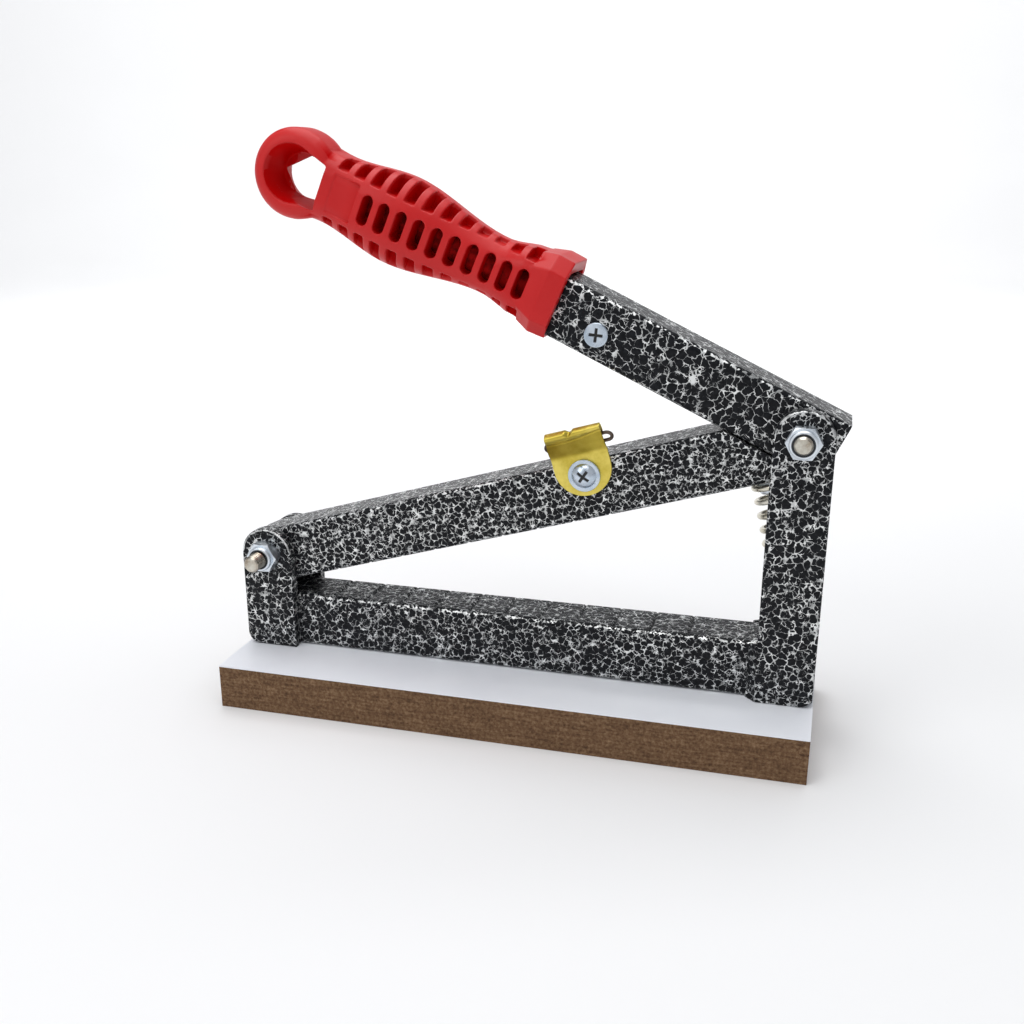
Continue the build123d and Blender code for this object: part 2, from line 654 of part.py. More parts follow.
# Mouth, socket and tang bore follow the lever, which the grip's axis leaves at a small angle
grip = Pos(lever_reach, 0, grip_rise) * Rot(0, grip_droop, 0) * grip
mouth_sizes = (moving_width + 2 * mouth_gap, bar_size + 2 * mouth_gap)
recess = Plane.YZ * RectangleRounded(*mouth_sizes, bar_corner + mouth_gap)
grip -= Pos(lever_reach - mouth_recess, 0, 0) * extrude(recess, amount=2 * mouth_recess)
socket = Plane.YZ * RectangleRounded(moving_width + 2 * socket_play, bar_size + 2 * socket_play, bar_corner)
grip -= Pos(lever_reach, 0, 0) * extrude(socket, amount=socket_depth)
bore_length = socket_depth + tang_length + tang_end_room
grip -= rod((lever_reach, 0, 0), (1, 0, 0), tang_diameter + 2 * tang_play, bore_length)
save(lever_frame.location * grip, "handle_grip")
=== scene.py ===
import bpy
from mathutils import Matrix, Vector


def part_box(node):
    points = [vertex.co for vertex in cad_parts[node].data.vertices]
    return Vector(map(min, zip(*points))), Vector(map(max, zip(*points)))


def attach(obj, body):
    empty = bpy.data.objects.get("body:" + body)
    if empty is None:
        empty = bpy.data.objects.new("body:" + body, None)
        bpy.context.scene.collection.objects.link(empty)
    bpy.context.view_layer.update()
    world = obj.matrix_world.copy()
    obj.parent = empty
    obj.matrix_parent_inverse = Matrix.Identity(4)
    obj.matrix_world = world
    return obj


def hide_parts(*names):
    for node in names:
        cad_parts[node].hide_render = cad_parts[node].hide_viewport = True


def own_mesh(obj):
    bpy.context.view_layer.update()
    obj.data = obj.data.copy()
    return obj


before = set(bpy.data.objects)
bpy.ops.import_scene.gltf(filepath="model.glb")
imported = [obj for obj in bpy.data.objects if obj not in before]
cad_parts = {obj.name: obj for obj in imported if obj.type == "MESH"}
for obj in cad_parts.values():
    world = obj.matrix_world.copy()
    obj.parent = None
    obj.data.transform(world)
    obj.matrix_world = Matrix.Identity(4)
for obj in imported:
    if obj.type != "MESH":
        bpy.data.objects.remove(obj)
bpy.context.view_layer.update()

from math import atan2, cos, floor, hypot, pi, radians, sin, tau

import bmesh
import bpy
from mathutils import Matrix, Vector, noise

# Base board: a slab of brown fibreboard, sawn to size and left bare at its edges.
# Its fibres lie in level layers and show as pale and dark flecks.
board_brown = ((0.070, 0.036, 0.018, 1), (0.165, 0.092, 0.047, 1), (0.32, 0.205, 0.115, 1))
fleck_size = 0.0011
fleck_share = 0.72
layer_pitch = 0.0009
sawn_depth = 0.00025


def new_finish(name, sockets):
    """Material with the given sockets of its shader set."""
    finish = bpy.data.materials.new(name)
    finish.use_nodes = True
    shader = finish.node_tree.nodes["Principled BSDF"]
    for socket, value in sockets.items():
        shader.inputs[socket].default_value = value
    return finish


def add_node(finish, kind, feeds, **settings):
    """Shader node with its settings made, and each input linked to an output or set to a value."""
    node = finish.node_tree.nodes.new("ShaderNode" + kind)
    for setting, value in settings.items():
        setattr(node, setting, value)
    for socket, value in feeds.items():
        if isinstance(value, bpy.types.NodeSocket):
            finish.node_tree.links.new(value, node.inputs[socket])
        else:
            node.inputs[socket].default_value = value
    return node


def on_piece(finish, turn=(0, 0, 0), stretch=(1, 1, 1), shift=(0, 0, 0)):
    """Coordinates that stay with the piece, turned and stretched for a pattern."""
    place = add_node(finish, "TexCoord", {})
    feeds = {"Vector": place.outputs["Object"], "Location": shift, "Rotation": turn, "Scale": stretch}
    return add_node(finish, "Mapping", feeds).outputs["Vector"]


def speckle(finish, vector, size, detail=2.0, roughness=0.5):
    """Noise whose grains are about the given size in metres."""
    feeds = {"Vector": vector, "Scale": 1 / size, "Detail": detail, "Roughness": roughness}
    return add_node(finish, "TexNoise", feeds).outputs["Fac"]


def spread(finish, value, low, high, to_low=0.0, to_high=1.0):
    """Value carried smoothly from one range to another."""
    feeds = {"Value": value, "From Min": low, "From Max": high, "To Min": to_low, "To Max": to_high}
    return add_node(finish, "MapRange", feeds, interpolation_type="SMOOTHSTEP").outputs["Result"]


def reckon(finish, operation, first, second):
    """Result of a sum, product or the like of two values."""
    return add_node(finish, "Math", {0: first, 1: second}, operation=operation).outputs[0]


def colour_steps(finish, value, colours, places):
    """Colours that follow one another as a value rises."""
    ramp = add_node(finish, "ValToRGB", {"Fac": value})
    stops = ramp.color_ramp.elements
    while len(stops) < len(colours):
        stops.new(0.5)
    for stop, colour, place in zip(stops, colours, places):
        stop.position = place
        stop.color = colour
    return ramp.outputs["Color"]


def relief(finish, height, depth):
    """Surface raised by up to the given depth in metres where the height is one."""
    feeds = {"Height": height, "Distance": depth, "Strength": 1.0}
    return add_node(finish, "Bump", feeds).outputs["Normal"]


def drive(finish, **outputs):
    """Links outputs to the shader, each named as its socket with underscores for spaces."""
    shader = finish.node_tree.nodes["Principled BSDF"]
    for socket, output in outputs.items():
        finish.node_tree.links.new(output, shader.inputs[socket.replace("_", " ")])


def dress(node, finish):
    """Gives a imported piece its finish."""
    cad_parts[node].material_slots[0].material = finish


fibreboard = new_finish("fibreboard", {"Roughness": 0.88, "Specular IOR Level": 0.25})
flecks = speckle(fibreboard, on_piece(fibreboard), fleck_size, 6.0, 0.72)
layers = speckle(fibreboard, on_piece(fibreboard, stretch=(0.08, 0.08, 1)), layer_pitch, 2.0)
cut_edge = reckon(fibreboard, "ADD", reckon(fibreboard, "MULTIPLY", flecks, fleck_share),
                  reckon(fibreboard, "MULTIPLY", layers, 1 - fleck_share))
drive(fibreboard, Base_Color=colour_steps(fibreboard, cut_edge, board_brown, (0.36, 0.52, 0.70)),
      Normal=relief(fibreboard, cut_edge, sawn_depth))
dress("base_board", fibreboard)

# Board facing: a white melamine sheet pressed on the fibreboard, faintly blue and half glossy.
# It carries a very fine orange-peel texture.
laminate_white = ((0.83, 0.85, 0.90, 1), (0.89, 0.91, 0.95, 1))
peel_size = 0.0012
peel_depth = 0.00003
cloud_size = 0.03
white_laminate = new_finish("white_laminate", {"Roughness": 0.34})
peel = speckle(white_laminate, on_piece(white_laminate), peel_size, 2.0)
clouds = speckle(white_laminate, on_piece(white_laminate), cloud_size, 3.0)
drive(white_laminate, Base_Color=colour_steps(white_laminate, clouds, laminate_white, (0.3, 0.7)),
      Normal=relief(white_laminate, peel, peel_depth))
dress("board_laminate", white_laminate)

# Board screws: two countersunk steel screws, zinc plated, driven up from below into the base bar.
# The plating is bluish, with fine turning marks and dull patches.
zinc_blue = ((0.66, 0.72, 0.78, 1), (0.84, 0.88, 0.92, 1))
dull_patch = 0.004
scratch_size = 0.0005
scratch_depth = 0.000025


def plated(name, colours, dull):
    """Plated steel with dull patches and fine scratches."""
    finish = new_finish(name, {"Metallic": 1.0})
    patches = speckle(finish, on_piece(finish), dull_patch, 4.0, 0.6)
    scratches = speckle(finish, on_piece(finish, stretch=(1, 0.15, 1)), scratch_size, 3.0)
    drive(finish, Base_Color=colour_steps(finish, patches, colours, (0.35, 0.65)),
          Roughness=spread(finish, patches, 0.3, 0.7, dull * 0.7, dull * 1.4),
          Normal=relief(finish, scratches, scratch_depth))
    return finish


zinc_plate = plated("zinc_plate", zinc_blue, 0.36)
dress("board_screws", zinc_plate)

# Base bar: a square steel tube, the lower jaw, notched across its top.
# It is painted in hammertone, which dries into dark blobs parted by silver veins.
blob_black = ((0.0035, 0.0040, 0.0052, 1), (0.014, 0.015, 0.018, 1))
vein_silver = ((0.27, 0.275, 0.275, 1), (0.86, 0.87, 0.86, 1))
blob_height = 0.00016
tube_corner = 0.0020
corner_wear_and_glint = 0.26
head_highlight_inset = 0.0001
head_highlight_width = 0.0008
head_highlight_fade = 0.0003
base_middle = (0, 0, 0.026)
base_halves = (0.010, 0.010)


def hammertone(name, blob, vein, shift, bar=None, head=None):
    """Hammertone paint with blobs of a given width in metres and veins as a share of that width.

    Along a bar's four long corners more silver shows, partly where thin paint wears and partly as a painted
    edge highlight. The bar is given by a point on its middle line, its turn about Y, and half its depth and
    half its height. A thin silver line is painted as a highlight round the upper edge of a post's head, given
    by its middle and its radius.
    """
    paint = new_finish(name, {"Specular IOR Level": 0.09, "Coat Weight": 0.07, "Coat Roughness": 0.2})
    plain = on_piece(paint, shift=shift)
    ripple = add_node(paint, "TexNoise", {"Vector": plain, "Scale": 1.0 / blob, "Detail": 3.0})
    grey_to_nought = {0: ripple.outputs["Color"], 1: (0.5, 0.5, 0.5)}
    centred = add_node(paint, "VectorMath", grey_to_nought, operation="SUBTRACT")
    push = {0: centred.outputs[0], 1: (1.25 * blob,) * 3, 2: plain}
    pushed = add_node(paint, "VectorMath", push, operation="MULTIPLY_ADD").outputs[0]
    cell = {"Vector": pushed, "Scale": 1 / blob}
    edge = add_node(paint, "TexVoronoi", cell, feature="DISTANCE_TO_EDGE").outputs["Distance"]
    heart = add_node(paint, "TexVoronoi", cell, feature="F1").outputs["Distance"]
    finer = {"Vector": pushed, "Scale": 1.75 / blob}
    fine_edge = add_node(paint, "TexVoronoi", finer, feature="DISTANCE_TO_EDGE").outputs["Distance"]
    broken = spread(paint, speckle(paint, plain, 3.2 * blob, 1.0), 0.46, 0.54, 0.5, 0.8 * vein)
    fine_edge = reckon(paint, "ADD", reckon(paint, "MULTIPLY", fine_edge, 0.57), broken)
    reach = reckon(paint, "MINIMUM", edge, fine_edge)
    width = spread(paint, speckle(paint, plain, 0.8 * blob, 1.0), 0.36, 0.66, -0.3 * vein, 1.45 * vein)
    width = reckon(paint, "ADD", width, spread(paint, heart, 0.52, 0.95, 0.0, 1.5 * vein))
    # Along the four long corners silver is added, partly as wear of thin paint and partly as a painted edge
    # highlight.
    if bar:
        place = add_node(paint, "TexCoord", {}).outputs["Object"]
        feeds = {"Vector": place, "Location": bar[0], "Rotation": (0, bar[1], 0)}
        local = add_node(paint, "Mapping", feeds, vector_type="TEXTURE").outputs["Vector"]
        parts = add_node(paint, "SeparateXYZ", {0: local}).outputs
        worn_and_glint = spread(paint, speckle(paint, plain, 0.40 * blob, 2.0), 0.46, 0.60)
        for axis, half in (("Y", bar[2]), ("Z", bar[3])):
            reached = reckon(paint, "ABSOLUTE", parts[axis], 0.0)
            at_corner = spread(paint, reached, half - 0.55 * tube_corner, half - 0.2 * tube_corner)
            worn_and_glint = reckon(paint, "MULTIPLY", worn_and_glint, at_corner)
        width = reckon(paint, "ADD", width, reckon(paint, "MULTIPLY", worn_and_glint, corner_wear_and_glint))
    # Painted highlight: a thin silver line along the upper arc of a post's head.
    if head:
        place = add_node(paint, "TexCoord", {}).outputs["Object"]
        apart = add_node(paint, "VectorMath", {0: place, 1: head[0]}, operation="SUBTRACT").outputs[0]
        upper = spread(paint, add_node(paint, "SeparateXYZ", {0: apart}).outputs["Z"], -0.001, 0.003)
        flat = add_node(paint, "VectorMath", {0: apart, 1: (1, 0, 1)}, operation="MULTIPLY").outputs[0]
        outward = add_node(paint, "VectorMath", {0: flat}, operation="LENGTH").outputs["Value"]
        outer, inner = head[1] - head_highlight_inset, head[1] - head_highlight_inset - head_highlight_width
        rim = reckon(paint, "MULTIPLY", spread(paint, outward, inner, inner + head_highlight_fade),
                     spread(paint, outward, outer - head_highlight_fade, outer, 1.0, 0.0))
        patchy = spread(paint, speckle(paint, plain, blob, 1.0), 0.30, 0.55, 0.06, 0.30)
        rim = reckon(paint, "MULTIPLY", rim, patchy)
        width = reckon(paint, "ADD", width, reckon(paint, "MULTIPLY", rim, upper))
    silver = spread(paint, reckon(paint, "SUBTRACT", reach, width), -0.25 * vein, 0.40 * vein, 1.0, 0.0)
    shade = speckle(paint, plain, 0.5 * blob, 3.0)
    black = colour_steps(paint, shade, blob_black, (0.3, 0.75))
    flake = colour_steps(paint, speckle(paint, plain, 1.3 * blob, 2.0), vein_silver, (0.32, 0.62))
    mixed = add_node(paint, "Mix", {0: silver, 6: black, 7: flake}, data_type="RGBA")
    dome = spread(paint, reach, 0.0, 0.30)
    drive(paint, Base_Color=mixed.outputs[2], Metallic=reckon(paint, "MULTIPLY", silver, 0.8),
          Roughness=spread(paint, silver, 0.0, 1.0, 0.30, 0.36), Normal=relief(paint, dome, blob_height))
    return paint


base_paint = hammertone("base_hammertone", 0.0021, 0.030, (0.3, 0.1, 0.2), (base_middle, 0, *base_halves))
dress("base_bar", base_paint)

# Posts: two pairs of flat steel bars with round heads, welded to the base bar's sides.
# They carry the two pivot bolts and have the same paint, in rather larger blobs.
post_half = 0.00965
post_blob = 0.0023
post_vein = 0.035
post_shift = (0.9, 0.4, 0.7)
post_pivots = {"left": (-0.0935, 0, 0.0518), "right": (0.0935, 0, 0.1068)}
for side, pivot in post_pivots.items():
    # Each post's head gets a painted highlight round its upper edge.
    post_paint = hammertone(side + "_post_hammertone", post_blob, post_vein, post_shift,
                            head=(pivot, post_half))
    dress(side + "_post_front", post_paint)
    dress(side + "_post_back", post_paint)

# Welds: fillets where the right posts' inner edges meet the bar, and beads inside the left posts.
# Each is a lumpy run of weld metal under the paint.
weld_grain = 0.00032
weld_lump = 0.0022
weld_swell = 0.00035
weld_rounds = 6


def merged_copy(node):
    """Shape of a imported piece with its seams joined."""
    shape = bmesh.new()
    shape.from_mesh(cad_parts[node].data)
    bmesh.ops.remove_doubles(shape, verts=shape.verts[:], dist=1e-6)
    return shape


def new_piece(name, shape, finish):
    """Object made from a shape, smooth shaded, with one finish."""
    mesh = bpy.data.meshes.new(name)
    shape.to_mesh(mesh)
    shape.free()
    mesh.materials.append(finish)
    for face in mesh.polygons:
        face.use_smooth = True
    piece = bpy.data.objects.new(name, mesh)
    bpy.context.scene.collection.objects.link(piece)
    return piece


def softened(shape, grain, rounds, share=1.0):
    """Shape skinned again in even small faces, with its edges rounded off by smoothing."""
    piece = new_piece("soft", shape, None)
    skin = piece.modifiers.new("skin", "REMESH")
    skin.mode = "VOXEL"
    skin.voxel_size = grain
    smooth = piece.modifiers.new("smooth", "SMOOTH")
    smooth.factor = 0.5
    smooth.iterations = rounds
    if share < 1:
        thin = piece.modifiers.new("thin", "DECIMATE")
        thin.ratio = share
    ready = piece.evaluated_get(bpy.context.evaluated_depsgraph_get())
    result = bmesh.new()
    result.from_mesh(ready.to_mesh())
    ready.to_mesh_clear()
    bpy.data.objects.remove(piece)
    return result


weld_shape = softened(merged_copy("weld_beads"), weld_grain, weld_rounds)
weld_shape.normal_update()
for vert in weld_shape.verts:
    vert.co += vert.normal * weld_swell * noise.noise(vert.co / weld_lump)
welds = new_piece("weld_runs", weld_shape, post_paint)
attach(welds, "frame")
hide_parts("weld_beads")

# Pivot bolts: two hexagon bolts of yellowish plated steel, put through from the back.
# Their threaded ends stand out of the nuts in front.
bolt_yellow = ((0.38, 0.32, 0.25, 1), (0.72, 0.70, 0.62, 1))
thread_pitch = 0.0010
thread_crest = 0.0030
thread_root = 0.00245
thread_start = 0.013
thread_lead_in = 0.0007
thread_flat = (0.42, 0.58)
steps_per_turn = 40
sharp_angle = radians(32)
yellow_zinc = plated("yellow_zinc", bolt_yellow, 0.30)


def whole(shape):
    """Everything in a shape, for operators that take all of it."""
    return shape.verts[:] + shape.edges[:] + shape.faces[:]


def thread(length):
    """Threaded rod along +Z, rolled as one ridge that winds up it, with a chamfered end."""
    rod = bmesh.new()
    ridge = ((thread_root, 0.0), (thread_crest, thread_flat[0]),
             (thread_crest, thread_flat[1]), (thread_root, 1.0))
    corners = [rod.verts.new((radius, 0, (share - 1) * thread_pitch)) for radius, share in ridge]
    for low, high in zip(corners, corners[1:]):
        rod.edges.new((low, high))
    turns = int(length / thread_pitch) + 3
    bmesh.ops.spin(rod, geom=rod.verts[:] + rod.edges[:], cent=(0, 0, 0), axis=(0, 0, 1),
                   dvec=(0, 0, thread_pitch / steps_per_turn), angle=tau * turns,
                   steps=steps_per_turn * turns)
    bmesh.ops.remove_doubles(rod, verts=rod.verts[:], dist=thread_pitch / 60)
    for level, out in ((0.0, -1), (length, 1)):
        cut = bmesh.ops.bisect_plane(rod, geom=whole(rod), dist=1e-7, plane_co=(0, 0, level),
                                     plane_no=(0, 0, out), clear_outer=True)
        rim = [part for part in cut["geom_cut"] if isinstance(part, bmesh.types.BMEdge)]
        bmesh.ops.edgeloop_fill(rod, edges=rim)
    for vert in rod.verts:
        radius = hypot(vert.co.x, vert.co.y)
        widest = thread_crest - thread_lead_in + length - vert.co.z
        if radius > widest:
            vert.co.x *= widest / radius
            vert.co.y *= widest / radius
    bmesh.ops.recalc_face_normals(rod, faces=rod.faces[:])
    return rod


for bolt in ("jaw_pivot_bolt", "lever_pivot_bolt"):
    low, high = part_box(bolt)
    pivot = Vector(((low.x + high.x) / 2, -thread_start, (low.z + high.z) / 2))
    bolt_shape = merged_copy(bolt)
    cut = bmesh.ops.bisect_plane(bolt_shape, geom=whole(bolt_shape), dist=1e-7, plane_co=pivot,
                                 plane_no=(0, -1, 0), clear_outer=True)
    rim = [part for part in cut["geom_cut"] if isinstance(part, bmesh.types.BMEdge)]
    bmesh.ops.edgeloop_fill(bolt_shape, edges=rim)
    rod = thread(-low.y - thread_start)
    to_front = Matrix.Translation(pivot) @ Matrix.Rotation(pi / 2, 4, "X")
    bmesh.ops.transform(rod, matrix=to_front, verts=rod.verts[:])
    rod_mesh = bpy.data.meshes.new("rod")
    rod.to_mesh(rod_mesh)
    rod.free()
    bolt_shape.from_mesh(rod_mesh)
    bolt_piece = new_piece("threaded_" + bolt, bolt_shape, yellow_zinc)
    bolt_piece.data.set_sharp_from_angle(angle=sharp_angle)
    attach(bolt_piece, "frame")
    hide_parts(bolt)

# Lock nuts: hexagon nuts with a round collar, zinc plated.
# The collar holds a dark nylon ring that grips the bolt's thread.
nylon_dark = ((0.010, 0.012, 0.016, 1), (0.030, 0.034, 0.042, 1))
nylon_fleck = 0.0006
nylon_depth = 0.00004
nylon = new_finish("nylon_insert", {"Roughness": 0.5})
nylon_grain = speckle(nylon, on_piece(nylon), nylon_fleck, 2.0)
drive(nylon, Base_Color=colour_steps(nylon, nylon_grain, nylon_dark, (0.3, 0.7)),
      Normal=relief(nylon, nylon_grain, nylon_depth))
for pivot_name in ("jaw", "lever"):
    dress(pivot_name + "_pivot_nut", zinc_plate)
    dress(pivot_name + "_nut_insert", nylon)

# Upper jaw: the same square tube, hinged on the left bolt and notched below.
# Here the paint dried in small blobs with strong bright veins.
jaw_turn = radians(16.39)
jaw_pivot = Vector(post_pivots["left"])
jaw_drop = 0.0022
jaw_halves = (0.0097, 0.010)
jaw_up = Vector((-sin(jaw_turn), 0, cos(jaw_turn)))
jaw_corners = (jaw_pivot - jaw_up * jaw_drop, -jaw_turn, *jaw_halves)
dress("jaw_bar", hammertone("jaw_hammertone", 0.0020, 0.042, (0.2, 0.8, 0.5), jaw_corners))

# Hand lever: the same square tube, hinged on the right bolt. Here the paint dried in the largest blobs.
# A rod from its end runs up into the hand grip. It is only primed in red, and shows dark in the slots.
primer_red = ((0.20, 0.004, 0.004, 1), (0.50, 0.008, 0.008, 1))
primer_patch = 0.003
primer_depth = 0.0001
lever_turn = radians(25)
lever_halves = (0.0097, 0.010)
lever_corners = (post_pivots["right"], lever_turn, *lever_halves)
dress("lever_bar", hammertone("lever_hammertone", 0.0028, 0.026, (0.6, 0.2, 0.9), lever_corners))
primer = new_finish("tang_primer", {"Roughness": 0.7, "Specular IOR Level": 0.08})
primer_coat = speckle(primer, on_piece(primer), primer_patch, 3.0)
drive(primer, Base_Color=colour_steps(primer, primer_coat, primer_red, (0.38, 0.60)),
      Normal=relief(primer, primer_coat, primer_depth))
dress("handle_tang", primer)

# Catch screw: a flat cross-head screw of zinc-plated steel on the lever's front.
# The clip on the jaw snaps past it, and its driver recess is painted black as shade.
recess_span = 0.0046
recess_width = 0.0010
screw_blue = ((0.46, 0.54, 0.63, 1), (0.68, 0.75, 0.83, 1))
recess_shade = (0.012, 0.011, 0.010, 1)
catch_turn = radians(-5)


def recess_shaded_plate(name, screw, turn):
    """Zinc plate for a screw that faces front, painted black as shade in its recess, which is turned by so
    much.
    """
    finish = plated(name, screw_blue, 0.26)
    low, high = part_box(screw)
    middle = ((low.x + high.x) / 2, 0, (low.z + high.z) / 2)
    place = add_node(finish, "TexCoord", {}).outputs["Object"]
    feeds = {"Vector": place, "Location": middle, "Rotation": (0, -turn, 0)}
    local = add_node(finish, "Mapping", feeds, vector_type="TEXTURE").outputs["Vector"]
    parts = add_node(finish, "SeparateXYZ", {0: local}).outputs
    along, across = (reckon(finish, "ABSOLUTE", parts[axis], 0.0) for axis in ("X", "Z"))
    less = reckon(finish, "MINIMUM", along, across)
    more = reckon(finish, "MAXIMUM", along, across)
    near = spread(finish, less, recess_width * 0.45, recess_width * 0.53, 1.0, 0.0)
    far = spread(finish, more, recess_span * 0.48, recess_span * 0.51, 1.0, 0.0)
    # Painted shade: inside the cross recess the plate turns black and loses its metal.
    in_recess = reckon(finish, "MULTIPLY", near, far)
    plate = finish.node_tree.nodes["Principled BSDF"].inputs["Base Color"].links[0].from_socket
    mixed = add_node(finish, "Mix", {0: in_recess, 6: plate, 7: recess_shade}, data_type="RGBA")
    drive(finish, Base_Color=mixed.outputs[2], Metallic=reckon(finish, "SUBTRACT", 1.0, in_recess))
    return finish


dress("lever_screw", recess_shaded_plate("catch_plate", "lever_screw", catch_turn))

# Latch clip: a strip of brass sheet screwed to the jaw's front, round at its foot.
# It leans forward above the jaw and is rolled back at the top, wider to the left, with a dent in the roll.
# Where it leans forward, in the crease under the roll and in the dent, its colour is darkened as painted
# shade.
brass_yellow = ((0.62, 0.48, 0.075, 1), (0.86, 0.71, 0.165, 1))
# Painted shade: these steps darken the brass on the forward-leaning band, in the crease under the roll and in
# the dent.
brass_shade_steps = ((1, 1, 1, 1), (0.66, 0.62, 0.42, 1), (0.34, 0.28, 0.16, 1))
clip_grain = 0.00016
clip_along = 0.12292
clip_half = 0.0099
lean = radians(33)
lean_start = (-0.01053, 0.01123)
roll_top = 0.02016
roll_line = ((-0.0099, 0.0162), (-0.0025, 0.0162), (0.0022, 0.0167), (0.0099, 0.0181))
roll_swell = (0.00085, 0.00020)
roll_shift = (0.0014, 0.0006)
dent_along = -0.0010
dent_width = 0.0017
dent_depth = 0.0008
dent_push = 0.0006
dent_skew = 0.4
groove_half = 0.0006
groove_depth = 0.00022
sheet_depth = 0.0016
sheet_fade = 0.0012
stain_size = 0.006
rolling_size = 0.0004
rolling_depth = 0.00002
brass = new_finish("brass_sheet", {"Metallic": 1.0})
brass_stain = speckle(brass, on_piece(brass), stain_size, 4.0, 0.6)
along_jaw = on_piece(brass, turn=(0, jaw_turn, 0), stretch=(0.05, 1, 1))
brass_rolling = speckle(brass, along_jaw, rolling_size, 2.0)
clip_shade = add_node(brass, "Attribute", {}, attribute_name="clip_shade").outputs["Fac"]
sheet = colour_steps(brass, brass_stain, brass_yellow, (0.35, 0.65))
shaded_brass = colour_steps(brass, clip_shade, brass_shade_steps, (0.0, 0.5, 1.0))
mixed = add_node(brass, "Mix", {0: 1.0, 6: sheet, 7: shaded_brass}, data_type="RGBA", blend_type="MULTIPLY")
drive(brass, Base_Color=mixed.outputs[2], Roughness=spread(brass, brass_stain, 0.3, 0.7, 0.34, 0.46),
      Normal=relief(brass, brass_rolling, rolling_depth))

jaw_place = Matrix.Translation(jaw_pivot) @ Matrix.Rotation(-jaw_turn, 4, "Y")
jaw_place = jaw_place @ Matrix.Translation((clip_along, 0, 0))
clip_shape = merged_copy("latch_clip")
bmesh.ops.transform(clip_shape, matrix=jaw_place.inverted(), verts=clip_shape.verts[:])
clip_shape = softened(clip_shape, clip_grain, 2)


def ease(value):
    """Smooth step from nought to one."""
    value = min(max(value, 0.0), 1.0)
    return value * value * (3 - 2 * value)


def line_height(line, along):
    """Height of a broken line at a place along it."""
    for (low, start), (high, end) in zip(line, line[1:]):
        if along <= high:
            break
    return start + (end - start) * min(max((along - low) / (high - low), 0.0), 1.0)


# Painted shade for each point, darkest on the forward-leaning band below the roll, along the crease and in
# the dent.
clip_shade_values = []
for vert in clip_shape.verts:
    along, depth, height = vert.co
    across = min(max((along + clip_half) / (2 * clip_half), 0.0), 1.0)
    crease = line_height(roll_line, along)
    ahead = -(depth - lean_start[0]) * cos(lean) - (height - lean_start[1]) * sin(lean)
    front = ease((ahead + sheet_depth) / sheet_fade) if height > lean_start[1] else 0.0
    up_roll = min(max((height - crease) / (roll_top - crease), 0.0), 1.0)
    groove = max(0.0, 1 - abs(height - crease) / groove_half)
    from_dent = along - dent_along + dent_skew * (roll_top - height)
    dent = ease(1 - abs(from_dent) / dent_width) * ease(1.3 * up_roll)
    swell = roll_swell[0] + (roll_swell[1] - roll_swell[0]) * across
    lift = ease((height - lean_start[1]) / (roll_top - lean_start[1]))
    vert.co.x += lift * (roll_shift[0] + (roll_shift[1] - roll_shift[0]) * across)
    vert.co.y += front * (groove_depth * ease(groove) - swell * sin(pi * up_roll) + dent_push * dent)
    vert.co.z -= dent * dent_depth * ease(2 * up_roll - 0.4)
    below = ease((height - lean_start[1] + 0.0022) / 0.0030) * ease((crease + 0.0004 - height) / 0.0010)
    leaning = below * (front if height > lean_start[1] else 1.0) * (0.45 + 0.45 * (1 - across))
    clip_shade_values.append(min(1.0, leaning + 0.45 * front * ease(groove) * (1 - 0.7 * across) + 0.25 * dent))
bmesh.ops.transform(clip_shape, matrix=jaw_place, verts=clip_shape.verts[:])
clip = new_piece("brass_clip", clip_shape, brass)
clip.data.attributes.new("clip_shade", "FLOAT", "POINT").data.foreach_set("value", clip_shade_values)
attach(clip, "jaw")
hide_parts("latch_clip")

# Clip screw: a domed cross-head screw with a broad flange, zinc plated, that clamps the clip.
# Its recess is painted black as shade too.
clip_screw_turn = jaw_turn + radians(40)
dress("latch_screw", recess_shaded_plate("latch_plate", "latch_screw", clip_screw_turn))

# Wire ring: an oval of dark steel wire that hangs in the clip's fold.
# It is bent from one length and can swing a little there.
wire_brown = ((0.050, 0.034, 0.027, 1), (0.21, 0.160, 0.130, 1))
dress("latch_ring", plated("dark_wire", wire_brown, 0.38))

# Return spring: twelve turns of bright round wire between the base bar and the jaw.
# A stud on each of them keeps the spring's ends in place, and its middle line bows to meet both squarely.
wire_colours = ((0.60, 0.56, 0.45, 1), (0.80, 0.77, 0.68, 1))
wire_radius = 0.0010
coil_radius = 0.00675
spring_turns = 12
spring_start = 0.5
end_pitch = 0.0026
spring_foot = Vector((0.0935, 0, 0.0371))
spring_head = Vector((0.084184, 0, 0.091337))
spring_chord = (spring_head - spring_foot).length
bow_foot = spring_foot + Vector((0, 0, spring_chord / 3))
bow_head = spring_head - jaw_up * (spring_chord / 3)
steps_round_coil = 36
sides_of_wire = 14


def spring_middle(share):
    """Point and direction on the spring's middle line, from 0 at the base to 1 at the jaw."""
    rest = 1 - share
    point = spring_foot * rest ** 3 + bow_foot * (3 * rest * rest * share)
    point += bow_head * (3 * rest * share * share) + spring_head * share ** 3
    slope = (bow_foot - spring_foot) * (rest * rest) + (bow_head - bow_foot) * (2 * rest * share)
    slope += (spring_head - bow_head) * (share * share)
    return point, slope.normalized()


def spring_rise(turn):
    """Share of the middle line after so many turns: close at both ends, open between."""
    closed = end_pitch / spring_chord
    if turn <= 1:
        return closed * turn
    if turn >= spring_turns - 1:
        return 1 - closed * (spring_turns - turn)
    return closed + (1 - 2 * closed) * (turn - 1) / (spring_turns - 2)


